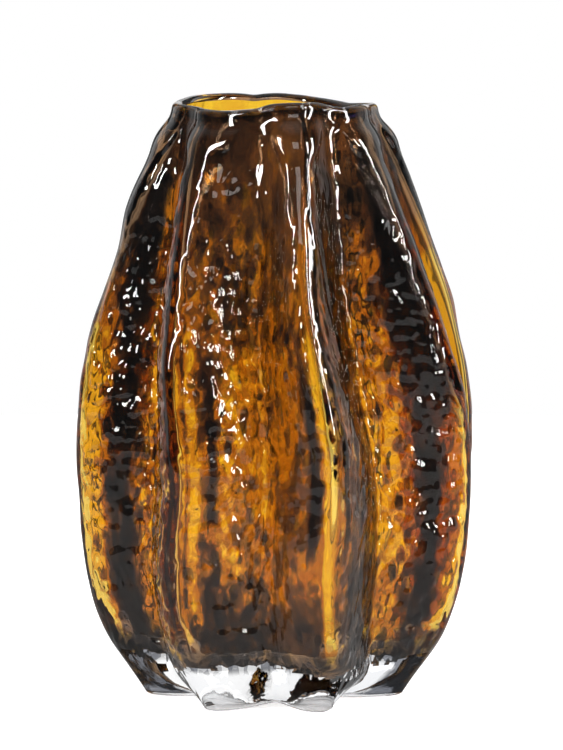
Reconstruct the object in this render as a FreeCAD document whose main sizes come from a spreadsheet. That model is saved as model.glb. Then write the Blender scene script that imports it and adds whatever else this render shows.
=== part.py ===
import FreeCAD, Part

import math
import os

# Gourd vase of cased glass
# A clear outer gather with seven wandering ridges is fused over a thin amber inner gather, which lines the
# whole inside from the thick clear heel to the lip. The vase stands on the star that its ridges make at the foot.
# Millimetres, +Z up, origin on the axis at the foot. Azimuth 0 is the front, towards -Y, and grows towards +X.

SHEET_NAME = "sizes"

# Driving sizes
# Each station has its rise above the one below, its radius at the ridge crests and how deep its grooves are.
SIZES = {
    "foot_rise": 0.0,
    "foot_ridge_radius": 49.0,
    "foot_groove_depth": 23.0,
    "instep_rise": 7.0,
    "instep_ridge_radius": 53.5,
    "instep_groove_depth": 12.0,
    "heel_rise": 13.0,
    "heel_ridge_radius": 62.2,
    "heel_groove_depth": 12.6,
    "bowl_rise": 28.0,
    "bowl_ridge_radius": 71.8,
    "bowl_groove_depth": 17.5,
    "belly_rise": 42.0,
    "belly_ridge_radius": 75.2,
    "belly_groove_depth": 21.7,
    "flank_rise": 40.0,
    "flank_ridge_radius": 72.0,
    "flank_groove_depth": 23.5,
    "shoulder_rise": 35.0,
    "shoulder_ridge_radius": 61.0,
    "shoulder_groove_depth": 16.4,
    "neck_rise": 33.0,
    "neck_ridge_radius": 50.3,
    "neck_groove_depth": 7.5,
    "collar_rise": 18.0,
    "collar_ridge_radius": 42.0,
    "collar_groove_depth": 3.4,
    "brim_rise": 6.5,
    "brim_ridge_radius": 39.0,
    "brim_groove_depth": 1.6,
    "lip_rise": 2.5,
    "lip_round": 1.0,
    "nose_half_width": 5.0,
    "groove_half_width": 2.6,
    "clear_ridge_wall": 5.6,
    "clear_groove_wall": 3.2,
    "clear_brim_wall": 2.2,
    "amber_belly_wall": 1.3,
    "amber_brim_wall": 2.2,
    "heel_thickness": 18.0,
    "amber_floor": 3.0,
    "floor_corner": 9.0,
}
STATIONS = ("foot", "instep", "heel", "bowl", "belly", "flank", "shoulder", "neck", "collar", "brim")
INNER_STATIONS = STATIONS[STATIONS.index("bowl"):]

# The ridges in turn round the vase
# Each row is one ridge's azimuth in degrees at the turn stations: a ridge wanders sideways as it climbs.
TURN_STATIONS = ("foot", "bowl", "belly", "shoulder", "brim")
RIDGE_AZIMUTHS = (
    (-134.0, -131.0, -130.0, -132.0, -137.0),
    (-78.0, -80.0, -79.0, -80.0, -73.0),
    (-28.7, -32.0, -29.5, -36.0, -39.4),
    (21.8, 16.5, 17.4, 10.8, 12.2),
    (76.0, 76.0, 75.3, 61.0, 54.0),
    (118.0, 109.0, 103.0, 104.0, 99.0),
    (172.0, 169.0, 168.0, 165.0, 160.0),
)
RIDGE_REACH_SHARES = (1.0, 1.01, 1.0, 1.0, 1.02, 1.03, 0.99)
GROOVE_PLACE_SHARES = (0.51, 0.5, 0.58, 0.48, 0.52, 0.47, 0.52)

# Shares of a groove's depth that round the ridge's nose, the groove's bottom and the flank between them
NOSE_DROP_SHARE = 0.09
GROOVE_RISE_SHARE = 0.06
FLANK_BULGE_SHARE = 0.03

# Where the sections through the rounded inside corner at the floor lie along its quarter turn
CORNER_TURN_SHARES = (0.0, 0.3, 0.6, 1.0)
CORNER_SOFT_SHARE = 0.35

# How much of the ridge's own wall each of a ridge's eight poles has, and the rest is the groove's wall
RIDGE_WALL_SHARES = (0.0, 0.0, 0.15, 0.35, 1.0, 0.35, 0.15, 0.0)

CUBIC = 3
QUARTER_TURN = math.pi / 2.0
FULL_TURN_DEGREES = 360.0


def fill_sheet(sheet):
    """Writes every driving size into a cell of its own name."""
    for row, (alias, value) in enumerate(SIZES.items(), start=1):
        sheet.set(f"A{row}", alias)
        sheet.set(f"B{row}", str(value))
        sheet.setAlias(f"B{row}", alias)


def station_height(sheet, station):
    """Height of a station above the foot, the sum of the rises up to it."""
    reached = STATIONS[: STATIONS.index(station) + 1]
    return sum(sheet.get(name + "_rise") for name in reached)


def height_formula(station):
    """The same sum as an expression on the sheet."""
    reached = STATIONS[: STATIONS.index(station) + 1]
    return " + ".join(f"{SHEET_NAME}.{name}_rise" for name in reached)


LIP_FORMULA = height_formula("brim") + f" + {SHEET_NAME}.lip_rise"


def along(sheet, stations, values, height):
    """The value at one height, in line between the stations' values."""
    stops = [station_height(sheet, name) for name in stations]
    span = 0
    while span < len(stops) - 2 and height > stops[span + 1]:
        span += 1
    share = (height - stops[span]) / (stops[span + 1] - stops[span])
    share = min(max(share, 0.0), 1.0)
    return values[span] + (values[span + 1] - values[span]) * share


def wander(sheet, turns, height):
    """A ridge's azimuth at one height, easing out of one turn station and into the next."""
    place = along(sheet, TURN_STATIONS, range(len(TURN_STATIONS)), height)
    span = min(int(place), len(turns) - 2)
    eased = (1.0 - math.cos(math.pi * (place - span))) / 2.0
    return turns[span] + (turns[span + 1] - turns[span]) * eased


def at(radius, azimuth):
    """The point of a section at one radius and azimuth."""
    angle = math.radians(azimuth)
    return FreeCAD.Vector(radius * math.sin(angle), -radius * math.cos(angle), 0.0)


def ridged_outline(sheet, height, ridge_radius, groove_depth):
    """Poles of one closed outline, eight to a ridge: groove, groove side, flank, shoulder, crest and back down.

    The crest's pole stands out by half the nose's drop, and the groove's pole stands in by half its rise, so that
    the curve itself just reaches the ridge radius and the groove radius.
    """
    groove_radius = ridge_radius - groove_depth
    nose_drop = groove_depth * NOSE_DROP_SHARE
    groove_rise = groove_depth * GROOVE_RISE_SHARE
    nose_turn = math.degrees(sheet.get("nose_half_width") / ridge_radius)
    groove_turn = math.degrees(sheet.get("groove_half_width") / groove_radius)
    ridges = [wander(sheet, turns, height) for turns in RIDGE_AZIMUTHS]
    following = ridges[1:] + [ridges[0] + FULL_TURN_DEGREES]
    grooves = [a + (b - a) * share for a, b, share in zip(ridges, following, GROOVE_PLACE_SHARES)]
    before = [grooves[-1] - FULL_TURN_DEGREES] + grooves[:-1]
    poles = []
    for ridge, groove_before, groove_after, reach in zip(ridges, before, grooves, RIDGE_REACH_SHARES):
        crest = ridge_radius * reach
        flank = (crest + groove_radius) / 2.0 + groove_depth * FLANK_BULGE_SHARE
        climb, arrive = groove_before + groove_turn, ridge - nose_turn
        leave, enter = ridge + nose_turn, groove_after - groove_turn
        poles += [
            at(groove_radius - groove_rise / 2.0, groove_before),
            at(groove_radius + groove_rise, climb),
            at(flank, (climb + arrive) / 2.0),
            at(crest - nose_drop, arrive),
            at(crest + nose_drop / 2.0, ridge),
            at(crest - nose_drop, leave),
            at(flank, (leave + enter) / 2.0),
            at(groove_radius + groove_rise, enter),
        ]
    return poles


def closed_curve(poles):
    """The smooth closed curve that the poles draw. All sections have the same even knots, so they match."""
    curve = Part.BSplineCurve()
    knots = [float(index) for index in range(len(poles) + 1)]
    curve.buildFromPolesMultsKnots(poles, [1] * len(knots), knots, True, CUBIC)
    return curve


def inset(poles, groove_wall, ridge_wall):
    """The poles moved inwards, square to their curve, by the wall between groove and ridge at each place."""
    moved = []
    for index, pole in enumerate(poles):
        share = RIDGE_WALL_SHARES[index % len(RIDGE_WALL_SHARES)]
        along_curve = poles[(index + 1) % len(poles)] - poles[index - 1]
        inwards = FreeCAD.Vector(-along_curve.y, along_curve.x, 0.0).normalize()
        moved.append(pole + inwards * (groove_wall + (ridge_wall - groove_wall) * share))
    return moved


def outer_poles(sheet, station, drawn_in=0.0):
    """The outer outline at a station, drawn in where the lip rounds over."""
    ridge_radius = sheet.get(station + "_ridge_radius") - drawn_in
    return ridged_outline(sheet, station_height(sheet, station), ridge_radius, sheet.get(station + "_groove_depth"))


def walls_at(sheet, height, through_amber):
    """Walls at the grooves and at the ridges, of the clear gather alone or of both gathers together."""
    span = ("belly", "brim")
    brim_wall = sheet.get("clear_brim_wall")
    groove_wall = along(sheet, span, (sheet.get("clear_groove_wall"), brim_wall), height)
    ridge_wall = along(sheet, span, (sheet.get("clear_ridge_wall"), brim_wall), height)
    if through_amber:
        amber = along(sheet, span, (sheet.get("amber_belly_wall"), sheet.get("amber_brim_wall")), height)
        groove_wall += amber
        ridge_wall += amber
    return groove_wall, ridge_wall


def inner_sections(sheet, through_amber):
    """Height formula and poles of each section of an inner face, from its flat floor up to the lip."""
    floor = sheet.get("heel_thickness")
    floor_formula = f"{SHEET_NAME}.heel_thickness"
    if through_amber:
        floor += sheet.get("amber_floor")
        floor_formula += f" + {SHEET_NAME}.amber_floor"
    corner = sheet.get("floor_corner")
    radii = [sheet.get(name + "_ridge_radius") for name in STATIONS]
    depths = [sheet.get(name + "_groove_depth") for name in STATIONS]
    sections = []
    for turn_share in CORNER_TURN_SHARES:
        turn = QUARTER_TURN * turn_share
        rise_share = 1.0 - math.cos(turn)
        height = floor + corner * rise_share
        drawn_in = corner * (1.0 - math.sin(turn))
        ridge_radius = along(sheet, STATIONS, radii, height) - drawn_in
        groove_depth = along(sheet, STATIONS, depths, height) - drawn_in * CORNER_SOFT_SHARE
        poles = ridged_outline(sheet, height, ridge_radius, groove_depth)
        moved = inset(poles, *walls_at(sheet, height, through_amber))
        sections.append((f"{floor_formula} + {SHEET_NAME}.floor_corner * {rise_share}", moved))
    for station in INNER_STATIONS:
        walls = walls_at(sheet, station_height(sheet, station), through_amber)
        sections.append((height_formula(station), inset(outer_poles(sheet, station), *walls)))
    walls = walls_at(sheet, station_height(sheet, "brim"), through_amber)
    if through_amber:
        walls = [wall - sheet.get("lip_round") for wall in walls]
    sections.append((LIP_FORMULA, inset(outer_poles(sheet, "brim"), *walls)))
    return sections


def outer_sections(sheet):
    """Height formula and poles of each section of the outer face, from the foot up to the rounded lip."""
    sections = [(height_formula(station), outer_poles(sheet, station)) for station in STATIONS]
    sections.append((LIP_FORMULA, outer_poles(sheet, "brim", drawn_in=sheet.get("lip_round"))))
    return sections


def add_sections(body, name, sections):
    """Sketches on the body's own base plane, each raised to its height and holding one closed outline."""
    plane = next(feature for feature in body.Origin.OriginFeatures if feature.Role == "XY_Plane")
    sketches = []
    for number, (formula, poles) in enumerate(sections):
        sketch = body.newObject("Sketcher::SketchObject", f"{name}_section_{number}")
        sketch.AttachmentSupport = [(plane, "")]
        sketch.MapMode = "FlatFace"
        sketch.setExpression(".AttachmentOffset.Base.z", formula)
        sketch.addGeometry(closed_curve(poles), False)
        sketches.append(sketch)
    return sketches


def add_loft(body, kind, name, sections):
    """A smooth loft through the sections, added to the body or taken out of it."""
    sketches = add_sections(body, name, sections)
    feature = body.newObject(kind, name)
    feature.Profile = sketches[0]
    feature.Sections = sketches[1:]
    return feature


def add_gather(doc, label, outside, inside):
    """One gather of glass: the form of its outer face with the form of its inner face taken out."""
    body = doc.addObject("PartDesign::Body", label)
    body.Label = label
    add_loft(body, "PartDesign::AdditiveLoft", label + "_outside", outside)
    add_loft(body, "PartDesign::SubtractiveLoft", label + "_inside", inside)
    return body


def check(doc, bodies):
    """Stops with a message if an object failed, or a gather isn't one valid solid with its inside taken out."""
    failed = [item.Name for item in doc.Objects if "Invalid" in item.State or "Error" in item.State]
    if failed:
        raise RuntimeError("failed objects: " + ", ".join(failed))
    for body in bodies:
        shape = body.Shape
        if shape.isNull() or not shape.isValid() or len(shape.Solids) != 1:
            raise RuntimeError(body.Label + " is not one valid solid")
        outside = doc.getObject(body.Label + "_outside").Shape
        if shape.Volume >= outside.Volume:
            raise RuntimeError(body.Label + " is not hollow")


def main():
    doc = FreeCAD.newDocument("gourd_vase")
    sheet = doc.addObject("Spreadsheet::Sheet", SHEET_NAME)
    fill_sheet(sheet)
    doc.recompute()
    fused_face = inner_sections(sheet, through_amber=False)
    inside_face = inner_sections(sheet, through_amber=True)
    bodies = [
        add_gather(doc, "clear_casing", outer_sections(sheet), fused_face),
        add_gather(doc, "amber_lining", fused_face, inside_face),
    ]
    doc.recompute()
    check(doc, bodies)
    os.makedirs("parts", exist_ok=True)
    for body in bodies:
        body.Shape.exportStep(f"parts/{body.Label}.step")


main()
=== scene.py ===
"""Looks of a gourd vase of cased glass: a clear ribbed casing fused over a thin amber lining.

The two gathers are built again as fine smooth meshes from the same sections as the solids, with the wavy lip,
the arched tops of the flutes and the hammered and brushed skin that the real one has.
Sizes of the form are in millimetres and the meshes are in metres. Places round the vase are counted in
ridges: 2.0 is the crest of ridge number 2, and 2.5 is about the groove of the flute after it. Rings of points
are arrays of rings, columns and x, y, z. A Span is a low and a high value, between which something changes,
and a Spot is three numbers.
"""

from __future__ import annotations

import logging
import math
from dataclasses import dataclass, field
from enum import Enum

import bpy
import numpy as np
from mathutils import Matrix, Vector

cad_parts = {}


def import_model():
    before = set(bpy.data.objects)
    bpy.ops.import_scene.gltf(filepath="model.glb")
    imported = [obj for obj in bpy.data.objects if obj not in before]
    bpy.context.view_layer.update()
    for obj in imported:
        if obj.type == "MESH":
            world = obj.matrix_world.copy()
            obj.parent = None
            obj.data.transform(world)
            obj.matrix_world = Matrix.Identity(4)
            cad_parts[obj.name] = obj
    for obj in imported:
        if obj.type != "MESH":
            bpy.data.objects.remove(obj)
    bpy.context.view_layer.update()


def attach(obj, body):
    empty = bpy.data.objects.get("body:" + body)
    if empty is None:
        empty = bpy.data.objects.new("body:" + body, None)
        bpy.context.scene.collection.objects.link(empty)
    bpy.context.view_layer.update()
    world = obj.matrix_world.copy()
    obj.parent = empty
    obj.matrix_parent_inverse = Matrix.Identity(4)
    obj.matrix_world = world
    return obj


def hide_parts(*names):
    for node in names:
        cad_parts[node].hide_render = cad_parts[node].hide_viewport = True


LOG = logging.getLogger("gourd_vase")
MM = 0.001
FULL_TURN = 360.0
Colour = tuple[float, float, float, float]
Span = tuple[float, float]
Spot = tuple[float, float, float]
Array = np.ndarray
Values = dict[str | int, object]
Socket = bpy.types.NodeSocket
Material = bpy.types.Material
Node = bpy.types.Node
Piece = bpy.types.Object


class Face(Enum):
    """The three ribbed faces of the wall, from the outside in."""

    OUTER = "outer"
    FUSED = "fused"
    INSIDE = "inside"


class Skin(Enum):
    """Which finish a band of a mesh takes."""

    SHOWN = 0
    BURIED = 1
    GROUND = 2
    HEEL = 3


class Layer(Enum):
    """The noises of the relief: seed, width and height of a cell, and start.

    A width is in millimetres along the ring, or else a share of the turn round the axis.
    """

    DIMPLE_SWAY = (7, 6.6, 10.0, 0.0)
    DIMPLES = (8, 3.3, 5.0, 0.0)
    WOBBLE = (9, 1.0 / 20.0, 24.0, 100.0)
    RIPPLE = (10, 1.0 / 40.0, 11.0, 100.0)
    SAG = (11, 1.0 / 26.0, 1.0, 60.0)
    LUMPS = (12, 5.0, 8.0, 40.0)
    HEEL = (13, 1.0 / 34.0, 1.0, 0.0)
    GRAIN = (14, 1.9, 15.0, 20.0)
    SCALLOPS = (15, 4.6, 3.1, 0.0)
    MEANDER = (16, 1.0 / 10.0, 15.0, 60.0)
    QUIVER = (17, 1.0 / 16.0, 6.5, 60.0)


@dataclass(frozen=True)
class Station:
    """One height on the outer face.

    Args:
        height: Height above the foot.
        ridge: Radius at the ridge crests.
        depth: Depth of the grooves.
    """

    height: float
    ridge: float
    depth: float


@dataclass(frozen=True)
class Ridge:
    """One ridge.

    Args:
        azimuths: Azimuth at the turn heights, in degrees, from the front towards the right.
        reach: Share of the station's ridge radius that this ridge has.
        groove_place: Where the groove after it lies on the way to the next ridge, as a share.
    """

    azimuths: tuple[float, ...]
    reach: float
    groove_place: float


@dataclass(frozen=True)
class Streak:
    """A long patch of the wall that differs from what lies round it.

    Args:
        place: Place of its middle at its low end, counted in ridges.
        half_width: Half of its width, in ridges.
        low: Height of its low end.
        high: Height of its high end.
        change: What it adds at its middle.
        lean: How far its middle moves on towards its high end, in ridges.
    """

    place: float
    half_width: float
    low: float
    high: float
    change: float
    lean: float = 0.0


def streak_rows(*rows: tuple[float, ...]) -> tuple[Streak, ...]:
    """Streaks from rows of their values, in the order of the fields."""
    return tuple(Streak(*row) for row in rows)


STATIONS = (
    Station(0.0, 49.0, 23.0),
    Station(7.0, 53.5, 12.0),
    Station(20.0, 62.2, 12.6),
    Station(48.0, 71.8, 17.5),
    Station(90.0, 75.2, 21.7),
    Station(130.0, 72.0, 23.5),
    Station(165.0, 61.0, 16.4),
    Station(198.0, 50.3, 7.5),
    Station(216.0, 42.0, 3.4),
    Station(222.5, 39.0, 1.6),
)
BELLY = STATIONS[4]
WALLED_STATIONS = STATIONS[3:]
TURN_HEIGHTS = (0.0, 48.0, 90.0, 165.0, 222.5)
RIDGES = (
    Ridge((-134.0, -131.0, -130.0, -132.0, -137.0), 1.0, 0.51),
    Ridge((-78.0, -80.0, -79.0, -80.0, -73.0), 1.01, 0.50),
    Ridge((-28.7, -32.0, -29.5, -36.0, -39.4), 1.0, 0.58),
    Ridge((21.8, 16.5, 17.4, 10.8, 12.2), 1.0, 0.48),
    Ridge((76.0, 76.0, 75.3, 61.0, 54.0), 1.02, 0.52),
    Ridge((118.0, 109.0, 103.0, 104.0, 99.0), 1.03, 0.47),
    Ridge((172.0, 169.0, 168.0, 165.0, 160.0), 0.99, 0.52),
)
LIP_WAVE = (
    (-180.0, 0.6), (-168.0, -0.3), (-156.0, 0.7), (-125.0, 0.8), (-78.0, 0.5), (-30.0, -0.6),
    (-9.0, 0.7), (-3.0, 2.3), (9.0, 2.9), (26.0, 2.7), (43.0, 0.2), (56.0, 0.8), (80.0, -0.4),
    (100.0, -0.8), (125.0, -2.2), (150.0, -1.1), (165.0, -0.2), (180.0, 0.6),
)
# Painted light: bright amber streaks on the flanks and shoulders of the ridges, where light from behind
# shines through the glass.
PAINTED_LIGHT_STREAKS = streak_rows(
    (1.12, 0.1, 24, 145, 0.55), (1.58, 0.28, 25, 195, 0.44), (2.05, 0.04, 25, 150, 0.3),
    (2.14, 0.03, 30, 140, 0.45), (2.36, 0.17, 52, 140, 0.21), (3.03, 0.08, 25, 142, 0.6, -0.1),
    (3.59, 0.13, 20, 155, 0.3), (3.93, 0.12, 24, 112, 0.6), (4.16, 0.12, 100, 180, 0.4),
    (4.36, 0.16, 20, 150, 0.25), (4.86, 0.32, 25, 164, 0.75), (5.26, 0.26, 60, 166, 0.55),
    (5.4, 0.14, 25, 160, 0.25), (5.9, 0.08, 25, 140, 0.5), (6.14, 0.08, 25, 140, 0.45),
    (6.6, 0.14, 25, 160, 0.3), (0.1, 0.08, 25, 140, 0.5), (0.42, 0.15, 25, 160, 0.25),
    (0.88, 0.15, 25, 150, 0.55),
)
# Painted shade: dark streaks along the ridges and in the flutes, where the glass refracts the dark room.
PAINTED_SHADE_STREAKS = streak_rows(
    (1.25, 0.08, 15, 205, -0.36), (2.215, 0.022, 75, 135, -0.45), (2.45, 0.5, 10, 48, -0.14),
    (2.84, 0.035, 62, 138, -0.45), (3.32, 0.16, 15, 205, -0.22), (3.765, 0.04, 25, 140, -0.3),
    (3.82, 0.06, 40, 200, -0.3), (3.9, 0.08, 110, 205, -0.18), (5.68, 0.12, 15, 200, -0.28),
    (6.01, 0.05, 5, 215, -0.3), (6.34, 0.14, 15, 200, -0.28), (0.0, 0.05, 5, 215, -0.3),
    (0.66, 0.12, 15, 200, -0.28),
)
BRUSHED_STREAKS = streak_rows(
    (2.73, 0.2, 10, 215, 1.0), (3.28, 0.24, 10, 215, 1.0), (4.3, 0.2, 10, 215, 1.0),
    (5.7, 0.2, 10, 215, 1.0), (6.28, 0.2, 10, 215, 1.0),
)
SMOOTH_STREAKS = streak_rows((4.88, 0.28, 40, 200, 1.0))
BULGE_STREAKS = streak_rows(
    (4.95, 0.4, 140, 178, 2.2), (4.05, 0.3, 140, 178, 1.2), (1.0, 0.4, 178, 205, 1.6),
)
THIN_STREAKS = streak_rows(
    (1.0, 0.3, 40, 185, 1.0), (4.06, 0.22, 24, 116, 0.85), (4.97, 0.34, 36, 182, 1.15),
    (6.0, 0.25, 30, 150, 0.6),
)
# Where the painted shade on the lip is taken off again, so that the back of the lip is lighter.
LIP_SHADE_GAPS = streak_rows((6.15, 1.6, 150, 290, 0.55))
# Painted shade: slate reflections of the dark room along the crests of ridges 2 and 3 and on the sides of the
# heel.
SLATE_SHADE_STREAKS = streak_rows(
    (1.09, 0.25, -20, 20, 0.85), (3.9, 0.22, -20, 20, 0.85), (1.965, 0.03, 30, 230, 0.8),
    (3.12, 0.025, 60, 230, 0.8, -0.06), (5.2, 0.3, -20, 24, 0.7), (6.3, 0.25, -20, 24, 0.7),
)
STREAK_EDGE = (0.5, 1.25)
STREAK_FADE = 9.0
FOOT_RINGS = (
    (0.35, 0.6, Skin.GROUND),
    (0.12, 0.0, Skin.GROUND),
    (0.03, 0.0, Skin.GROUND),
    (0.012, 0.36, Skin.HEEL),
    (0.003, 0.84, Skin.HEEL),
)


def eased(low: float, high: float, value: Array) -> Array:
    """Smooth step from 0 at low to 1 at high."""
    share = np.clip((value - low) / (high - low), 0.0, 1.0)
    return share * share * (3.0 - 2.0 * share)


def window(rise: Span, fall: Span, value: Array) -> Array:
    """Smooth step up from 0 to 1 and down to 0 again."""
    return eased(*rise, value) * (1.0 - eased(*fall, value))


def turns_of(rings: Array) -> Array:
    """Turn of each point round the axis from the front, in full turns."""
    return np.arctan2(rings[:, :, 0], -rings[:, :, 1]) / math.tau


def smooth_through(stops: Array, values: Array, wanted: Array) -> Array:
    """Natural cubic spline through values given at rising stops.

    Args:
        stops: Rising places, one for each row of values.
        values: Rows of values.
        wanted: Places to read the spline at.

    Returns:
        One row of values for each wanted place.
    """
    count = len(stops)
    gaps = np.diff(stops)
    shape = values.shape[1:]
    flat = values.reshape(count, -1)
    system = np.eye(count)
    right = np.zeros_like(flat)
    for row in range(1, count - 1):
        before, after = gaps[row - 1], gaps[row]
        system[row, row - 1 : row + 2] = before, 2.0 * (before + after), after
        right[row] = 6.0 * ((flat[row + 1] - flat[row]) / after - (flat[row] - flat[row - 1]) / before)
    bend = np.linalg.solve(system, right)
    span = np.clip(np.searchsorted(stops, wanted) - 1, 0, count - 2)
    gap = gaps[span][:, None]
    up = ((wanted - stops[span]) / gaps[span])[:, None]
    down = 1.0 - up
    curve = ((down**3 - down) * bend[span] + (up**3 - up) * bend[span + 1]) * gap**2 / 6.0
    return (down * flat[span] + up * flat[span + 1] + curve).reshape(len(wanted), *shape)


@dataclass(frozen=True)
class RibbedForm:
    """The ribbed faces of the wall, worked out as the solids are."""

    columns_per_ridge: int = 88
    nose_half_width: float = 5.0
    groove_half_width: float = 2.6
    nose_drop_share: float = 0.09
    groove_rise_share: float = 0.06
    flank_bulge_share: float = 0.03
    clear_ridge_wall: float = 5.6
    casing_ridge_wall: float = 3.9
    clear_groove_wall: float = 3.2
    clear_brim_wall: float = 2.2
    amber_belly_wall: float = 1.3
    amber_brim_wall: float = 2.2
    heel_thickness: float = 18.0
    amber_floor: float = 3.0
    floor_corner: float = 9.0
    corner_soft_share: float = 0.35
    corner_turn_shares: tuple[float, ...] = (0.0, 0.3, 0.6, 1.0)
    ridge_wall_shares: tuple[float, ...] = (0.0, 0.0, 0.15, 0.35, 1.0, 0.35, 0.15, 0.0)

    @property
    def columns(self) -> int:
        """Mesh columns all round."""
        return self.columns_per_ridge * len(RIDGES)

    @property
    def brim_height(self) -> float:
        """Height where the lip begins to round over."""
        return STATIONS[-1].height

    def azimuths(self, height: float) -> list[float]:
        """Azimuths of the ridges at one height, in degrees.

        Args:
            height: The height.

        Returns:
            One azimuth for each ridge.
        """
        place = float(np.interp(height, TURN_HEIGHTS, range(len(TURN_HEIGHTS))))
        span = min(int(place), len(TURN_HEIGHTS) - 2)
        share = (1.0 - math.cos(math.pi * (place - span))) / 2.0
        return [r.azimuths[span] + (r.azimuths[span + 1] - r.azimuths[span]) * share for r in RIDGES]

    def outline(self, height: float, ridge_radius: float, depth: float) -> Array:
        """Poles of one ribbed outline.

        Args:
            height: Height of the outline.
            ridge_radius: Radius at the crests.
            depth: Depth of the grooves.

        Returns:
            The poles as rows of x and y.
        """
        groove_radius = ridge_radius - depth
        drop = depth * self.nose_drop_share
        rise = depth * self.groove_rise_share
        nose = math.degrees(self.nose_half_width / ridge_radius)
        side = math.degrees(self.groove_half_width / groove_radius)
        ridges = self.azimuths(height)
        following = ridges[1:] + [ridges[0] + FULL_TURN]
        after = [a + (b - a) * r.groove_place for a, b, r in zip(ridges, following, RIDGES)]
        before = [after[-1] - FULL_TURN] + after[:-1]
        polar: list[tuple[float, float]] = []
        for ridge, low, high, shape in zip(ridges, before, after, RIDGES):
            crest = ridge_radius * shape.reach
            flank = (crest + groove_radius) / 2.0 + depth * self.flank_bulge_share
            polar += [
                (groove_radius - rise / 2.0, low),
                (groove_radius + rise, low + side),
                (flank, (low + side + ridge - nose) / 2.0),
                (crest - drop, ridge - nose),
                (crest + drop / 2.0, ridge),
                (crest - drop, ridge + nose),
                (flank, (high - side + ridge + nose) / 2.0),
                (groove_radius + rise, high - side),
            ]
        radius, turn = np.array(polar).T
        turn = np.radians(turn)
        return np.stack([radius * np.sin(turn), -radius * np.cos(turn)], axis=1)

    def inset(self, poles: Array, groove_wall: float, ridge_wall: float) -> Array:
        """The poles moved inwards, square to their curve, by the wall at each place.

        Args:
            poles: The poles as rows of x and y.
            groove_wall: Wall at the grooves.
            ridge_wall: Wall at the crests.

        Returns:
            The moved poles.
        """
        chord = np.roll(poles, -1, axis=0) - np.roll(poles, 1, axis=0)
        inwards = np.stack([-chord[:, 1], chord[:, 0]], axis=1)
        inwards /= np.linalg.norm(inwards, axis=1, keepdims=True)
        share = np.tile(self.ridge_wall_shares, len(RIDGES))[:, None]
        return poles + inwards * (groove_wall + (ridge_wall - groove_wall) * share)

    def walls(self, height: float, face: Face) -> tuple[float, float]:
        """Walls between the outer face and another face.

        Args:
            height: The height.
            face: The other face.

        Returns:
            The wall at the grooves and the wall at the crests.
        """
        span = (BELLY.height, self.brim_height)
        groove = float(np.interp(height, span, (self.clear_groove_wall, self.clear_brim_wall)))
        crest_wall = self.clear_ridge_wall if face is Face.INSIDE else self.casing_ridge_wall
        ridge = float(np.interp(height, span, (crest_wall, self.clear_brim_wall)))
        amber = 0.0
        if face is Face.INSIDE:
            amber = float(np.interp(height, span, (self.amber_belly_wall, self.amber_brim_wall)))
        return groove + amber, ridge + amber

    def floor(self, face: Face) -> float:
        """Height of the flat floor of an inner face."""
        return self.heel_thickness + (self.amber_floor if face is Face.INSIDE else 0.0)

    def sections(self, face: Face) -> tuple[Array, Array]:
        """Heights of a face's sections and the poles of each.

        Args:
            face: Which face.

        Returns:
            The heights, and an array of sections, poles and x, y.
        """
        if face is Face.OUTER:
            poles = [self.outline(s.height, s.ridge, s.depth) for s in STATIONS]
            return np.array([s.height for s in STATIONS]), np.array(poles)
        stops, ridges, depths = zip(*((s.height, s.ridge, s.depth) for s in STATIONS))
        heights, rows = [], []
        for share in self.corner_turn_shares:
            turn = math.pi / 2.0 * share
            height = self.floor(face) + self.floor_corner * (1.0 - math.cos(turn))
            drawn_in = self.floor_corner * (1.0 - math.sin(turn))
            ridge = float(np.interp(height, stops, ridges)) - drawn_in
            depth = float(np.interp(height, stops, depths)) - drawn_in * self.corner_soft_share
            heights.append(height)
            rows.append(self.inset(self.outline(height, ridge, depth), *self.walls(height, face)))
        for s in WALLED_STATIONS:
            heights.append(s.height)
            outline = self.outline(s.height, s.ridge, s.depth)
            rows.append(self.inset(outline, *self.walls(s.height, face)))
        return np.array(heights), np.array(rows)

    def surface(self, face: Face, heights: Array) -> Array:
        """Points of a face.

        Args:
            face: Which face.
            heights: Heights of the mesh rows.

        Returns:
            Rings of points.
        """
        stops, poles = self.sections(face)
        rows = smooth_through(stops, poles, heights)
        count = poles.shape[1]
        place = np.arange(self.columns) * count / self.columns
        whole = np.floor(place).astype(int)
        t = place - whole
        weights = (
            (1.0 - t) ** 3 / 6.0,
            (3.0 * t**3 - 6.0 * t**2 + 4.0) / 6.0,
            (-3.0 * t**3 + 3.0 * t**2 + 3.0 * t + 1.0) / 6.0,
            t**3 / 6.0,
        )
        flat = sum(w[None, :, None] * rows[:, (whole + k - 1) % count] for k, w in enumerate(weights))
        level = np.broadcast_to(heights[:, None, None], (*flat.shape[:2], 1))
        return np.concatenate([flat, level], axis=2)

    def places(self) -> Array:
        """Place of each column, counted in ridges: whole numbers are crests."""
        return np.arange(self.columns) / self.columns_per_ridge - 0.5

    def to_crest(self) -> Array:
        """How far each column lies from the nearest crest, in ridges."""
        return np.abs((self.places() + 0.5) % 1.0 - 0.5)


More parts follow.
